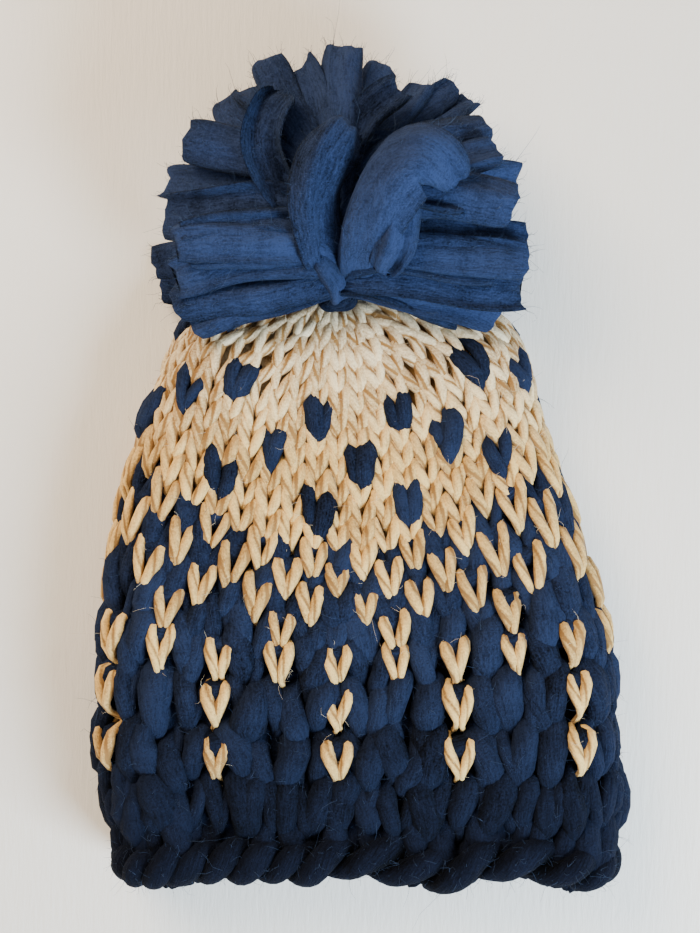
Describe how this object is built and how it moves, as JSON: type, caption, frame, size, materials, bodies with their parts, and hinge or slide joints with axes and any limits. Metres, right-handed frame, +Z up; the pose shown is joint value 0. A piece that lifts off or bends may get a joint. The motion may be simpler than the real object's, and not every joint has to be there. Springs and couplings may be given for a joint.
{
  "type": "bobble hat",
  "caption": "Chunky knitted bobble hat lying flat: thick navy brim with a rope-like cast-on edge, cream crown and a large pompom of flat roving strips.",
  "frame": {"origin": "on the flat underside of the crown, in the surface the hat lies on, under the middle of the whole hat", "axes": "+Y from the mouth of the hat towards its pompom, +Z up from the surface it lies on, +X to the right seen from above"},
  "size_m": [0.2433, 0.3908, 0.1105],
  "materials": {
    "cream_wool": "matt plied wool",
    "navy_roving": "matt, fuzzy unspun wool",
    "blue_roving": "matt, fuzzy felted wool"
  },
  "bodies": {
    "root": {"cream_crown": "cream_wool", "navy_brim": "navy_roving", "cast_on_edge": "navy_roving", "pompom": "blue_roving", "pompom_tie": "blue_roving"}
  },
  "joints": []
}
